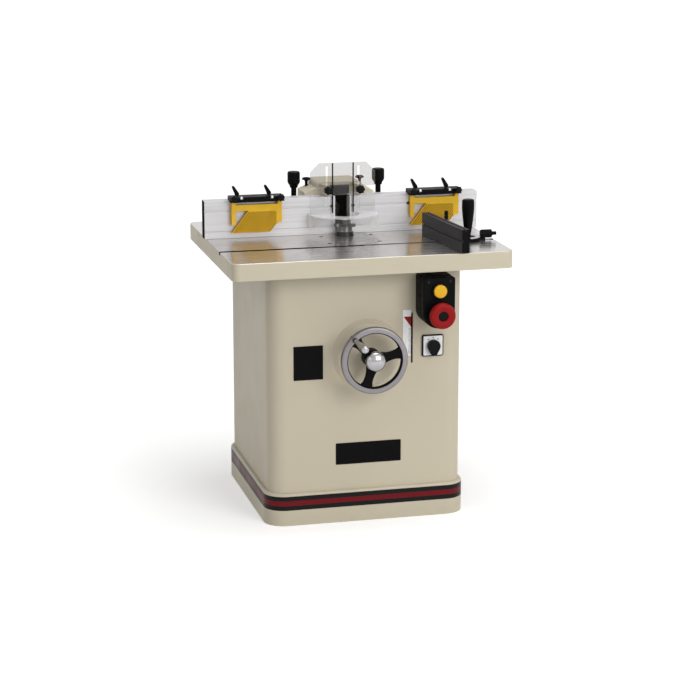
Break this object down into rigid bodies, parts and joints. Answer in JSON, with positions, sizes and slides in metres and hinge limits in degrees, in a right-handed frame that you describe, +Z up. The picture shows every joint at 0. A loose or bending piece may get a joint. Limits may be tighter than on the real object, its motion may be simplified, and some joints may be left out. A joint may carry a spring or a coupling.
{
  "type": "spindle moulder",
  "caption": "Spindle moulder with a cast table on a sheet-metal cabinet, a split fence with clear guard and feather boards, a mitre gauge and a front handwheel.",
  "frame": {"origin": "on the floor, under the axis of the spindle", "axes": "+X to the right of a person standing at the machine, +Y to its back, +Z up"},
  "size_m": [0.928, 0.9151, 1.127],
  "materials": {
    "cream_paint": "satin",
    "ground_iron": "ground",
    "raw_iron": "cast",
    "bright_steel": "polished",
    "dark_steel": "blackened",
    "wheel_metal": "polished",
    "fence_metal": "satin",
    "motor_paint": "satin",
    "bronze": "machined",
    "belt_rubber": "matte",
    "black_plastic": "matte",
    "amber_plastic": "gloss",
    "red_plastic": "gloss",
    "yellow_plastic": "satin",
    "clear_plastic": "clear",
    "plate_metal": "printed",
    "black_paint": "satin"
  },
  "bodies": {
    "cabinet": {"plinth": "cream_paint", "cabinet_shell": "cream_paint", "table": "ground_iron", "insert_ring_outer": "ground_iron", "insert_ring_inner": "ground_iron", "way_casting": "raw_iron", "switch_box": "black_plastic", "selector_plate": "black_plastic", "front_plates": "plate_metal", "door_hinges": "bright_steel", "cable_gland": "black_plastic"},
    "carriage": {"carriage": "raw_iron", "spindle_cartridge": "raw_iron", "spindle_bearings": "bright_steel", "motor": "motor_paint", "drive_belt": "belt_rubber", "depth_pointer": "dark_steel", "lift_nut": "bronze"},
    "spindle": {"spindle_shaft": "bright_steel", "base_collar": "dark_steel", "spacer_collar": "bright_steel", "cutter_head": "dark_steel", "spindle_nut": "bright_steel", "spindle_pulley": "raw_iron"},
    "motor_rotor": {"motor_shaft": "bright_steel", "motor_pulley": "raw_iron"},
    "handwheel": {"handwheel": "wheel_metal", "handwheel_shaft": "bright_steel"},
    "crank_handle": {"crank_handle": "bright_steel"},
    "lock_knob": {"lock_knob": "bright_steel"},
    "lead_screw": {"lead_screw": "bright_steel"},
    "start_button": {"start_button": "amber_plastic"},
    "stop_button": {"stop_button": "red_plastic"},
    "selector_knob": {"selector_knob": "black_plastic"},
    "fence_housing": {"fence_hood": "cream_paint"},
    "fence_left": {"fence_left": "fence_metal", "feather_bar_left": "black_plastic"},
    "fence_right": {"fence_right": "fence_metal", "feather_bar_right": "black_plastic"},
    "clamp_handle_left": {"clamp_handle_left": "black_plastic"},
    "clamp_handle_right": {"clamp_handle_right": "black_plastic"},
    "fence_lock_left": {"fence_lock_left": "black_plastic"},
    "fence_lock_right": {"fence_lock_right": "black_plastic"},
    "guard": {"guard_plate": "clear_plastic", "guard_visor": "clear_plastic"},
    "guard_knob_left": {"guard_knob_left": "black_plastic"},
    "guard_knob_right": {"guard_knob_right": "black_plastic"},
    "feather_comb_left": {"feather_comb_left": "yellow_plastic"},
    "feather_comb_right": {"feather_comb_right": "yellow_plastic"},
    "cam_lever_left_outer": {"cam_lever_left_outer": "black_plastic"},
    "cam_lever_left_inner": {"cam_lever_left_inner": "black_plastic"},
    "cam_lever_right_outer": {"cam_lever_right_outer": "black_plastic"},
    "cam_lever_right_inner": {"cam_lever_right_inner": "black_plastic"},
    "mitre_bar": {"mitre_bar": "bright_steel"},
    "mitre_head": {"mitre_head": "fence_metal", "mitre_block": "black_plastic"},
    "mitre_grip": {"mitre_grip": "black_plastic"},
    "mitre_lever": {"mitre_lever": "black_plastic"},
    "rear_door": {"rear_door": "cream_paint"},
    "door_latch": {"door_latch": "black_plastic"}
  },
  "joints": [
    {"name": "handwheel_turn", "type": "hinge", "parent": "cabinet", "child": "handwheel", "pos_m": [0, -0.389, 0.556], "axis": [0, 1, 0], "range_deg": [-1438, 3958]},
    {"name": "spindle_lift", "type": "slide", "parent": "cabinet", "child": "carriage", "axis": [0, 0, 1], "range_m": [-0.02, 0.055]},
    {"name": "lead_screw_turn", "type": "hinge", "parent": "cabinet", "child": "lead_screw", "pos_m": [0, -0.15, 0.6], "axis": [0, 0, 1], "range_deg": [-3960, 1440]},
    {"name": "spindle_spin", "type": "hinge", "parent": "carriage", "child": "spindle", "pos_m": [0, 0, 0.7], "axis": [0, 0, 1], "continuous": true},
    {"name": "motor_spin", "type": "hinge", "parent": "carriage", "child": "motor_rotor", "pos_m": [0, 0.19, 0.62], "axis": [0, 0, 1], "continuous": true},
    {"name": "crank_spin", "type": "hinge", "parent": "handwheel", "child": "crank_handle", "pos_m": [-0.06718, -0.45, 0.62804], "axis": [0, 1, 0], "continuous": true},
    {"name": "lock_knob_turn", "type": "hinge", "parent": "handwheel", "child": "lock_knob", "pos_m": [0, -0.41, 0.556], "axis": [0, 1, 0], "range_deg": [-90, 180]},
    {"name": "start_press", "type": "slide", "parent": "cabinet", "child": "start_button", "axis": [0, 1, 0], "range_m": [0, 0.004], "stiffness_N_per_m": 600},
    {"name": "stop_press", "type": "slide", "parent": "cabinet", "child": "stop_button", "axis": [0, 1, 0], "range_m": [0, 0.005], "stiffness_N_per_m": 900},
    {"name": "selector_turn", "type": "hinge", "parent": "cabinet", "child": "selector_knob", "pos_m": [0.217, -0.31, 0.573], "axis": [0, 1, 0], "range_deg": [-60, 60]},
    {"name": "fence_depth", "type": "slide", "parent": "cabinet", "child": "fence_housing", "axis": [0, 1, 0], "range_m": [0, 0.02]},
    {"name": "fence_left_slide", "type": "slide", "parent": "fence_housing", "child": "fence_left", "axis": [1, 0, 0], "range_m": [-0.04, 0]},
    {"name": "fence_right_slide", "type": "slide", "parent": "fence_housing", "child": "fence_right", "axis": [1, 0, 0], "range_m": [0, 0.04]},
    {"name": "guard_height", "type": "slide", "parent": "fence_housing", "child": "guard", "axis": [0, 0, 1], "range_m": [-0.025, 0.06]},
    {"name": "mitre_slide", "type": "slide", "parent": "cabinet", "child": "mitre_bar", "axis": [1, 0, 0], "range_m": [-0.1, 0.1]},
    {"name": "mitre_angle", "type": "hinge", "parent": "mitre_bar", "child": "mitre_head", "pos_m": [0.366, -0.192, 0.896], "axis": [0, 0, 1], "range_deg": [-56, 44]},
    {"name": "mitre_grip_turn", "type": "hinge", "parent": "mitre_head", "child": "mitre_grip", "pos_m": [0.366, -0.192, 0.98], "axis": [0, 0, 1], "range_deg": [-180, 180]},
    {"name": "mitre_lever_turn", "type": "hinge", "parent": "mitre_head", "child": "mitre_lever", "pos_m": [0.29806, -0.17702, 0.952], "axis": [0.9945, 0.1045, 0], "range_deg": [-60, 60]},
    {"name": "door_swing", "type": "hinge", "parent": "cabinet", "child": "rear_door", "pos_m": [-0.2203, 0.3515, 0.44], "axis": [0, 0, 1], "range_deg": [0, 110]},
    {"name": "latch_turn", "type": "hinge", "parent": "rear_door", "child": "door_latch", "pos_m": [0.188, 0.365, 0.44], "axis": [0, 1, 0], "range_deg": [0, 90]},
    {"name": "clamp_left_turn", "type": "hinge", "parent": "cabinet", "child": "clamp_handle_left", "pos_m": [-0.145, 0.118, 0.95], "axis": [0, 0, 1], "range_deg": [-180, 180]},
    {"name": "fence_lock_left_turn", "type": "hinge", "parent": "fence_housing", "child": "fence_lock_left", "pos_m": [-0.092, 0.162, 1.04], "axis": [0, 0, 1], "range_deg": [-180, 180]},
    {"name": "guard_knob_left_turn", "type": "hinge", "parent": "fence_housing", "child": "guard_knob_left", "pos_m": [-0.054, 0.02, 1.04], "axis": [0, 1, 0], "range_deg": [-180, 180]},
    {"name": "comb_left_height", "type": "slide", "parent": "fence_left", "child": "feather_comb_left", "axis": [0, 0, 1], "range_m": [-0.015, 0.006]},
    {"name": "cam_left_outer_turn", "type": "hinge", "parent": "fence_left", "child": "cam_lever_left_outer", "pos_m": [-0.35515, 0.03, 1.0366], "axis": [0, 1, 0], "range_deg": [0, 95]},
    {"name": "cam_left_inner_turn", "type": "hinge", "parent": "fence_left", "child": "cam_lever_left_inner", "pos_m": [-0.24847, 0.03, 1.0366], "axis": [0, 1, 0], "range_deg": [0, 95]},
    {"name": "clamp_right_turn", "type": "hinge", "parent": "cabinet", "child": "clamp_handle_right", "pos_m": [0.145, 0.118, 0.95], "axis": [0, 0, 1], "range_deg": [-180, 180]},
    {"name": "fence_lock_right_turn", "type": "hinge", "parent": "fence_housing", "child": "fence_lock_right", "pos_m": [0.092, 0.162, 1.04], "axis": [0, 0, 1], "range_deg": [-180, 180]},
    {"name": "guard_knob_right_turn", "type": "hinge", "parent": "fence_housing", "child": "guard_knob_right", "pos_m": [0.054, 0.02, 1.04], "axis": [0, 1, 0], "range_deg": [-180, 180]},
    {"name": "comb_right_height", "type": "slide", "parent": "fence_right", "child": "feather_comb_right", "axis": [0, 0, 1], "range_m": [-0.015, 0.006]},
    {"name": "cam_right_outer_turn", "type": "hinge", "parent": "fence_right", "child": "cam_lever_right_outer", "pos_m": [0.24985, 0.03, 1.0366], "axis": [0, 1, 0], "range_deg": [0, 95]},
    {"name": "cam_right_inner_turn", "type": "hinge", "parent": "fence_right", "child": "cam_lever_right_inner", "pos_m": [0.35653, 0.03, 1.0366], "axis": [0, 1, 0], "range_deg": [0, 95]}
  ],
  "couplings": [
    {"joint": "spindle_lift", "follows": "handwheel_turn", "m_per_rad": 0.00079577},
    {"joint": "lead_screw_turn", "follows": "handwheel_turn", "ratio": -1},
    {"joint": "motor_spin", "follows": "spindle_spin", "ratio": 0.4943}
  ]
}
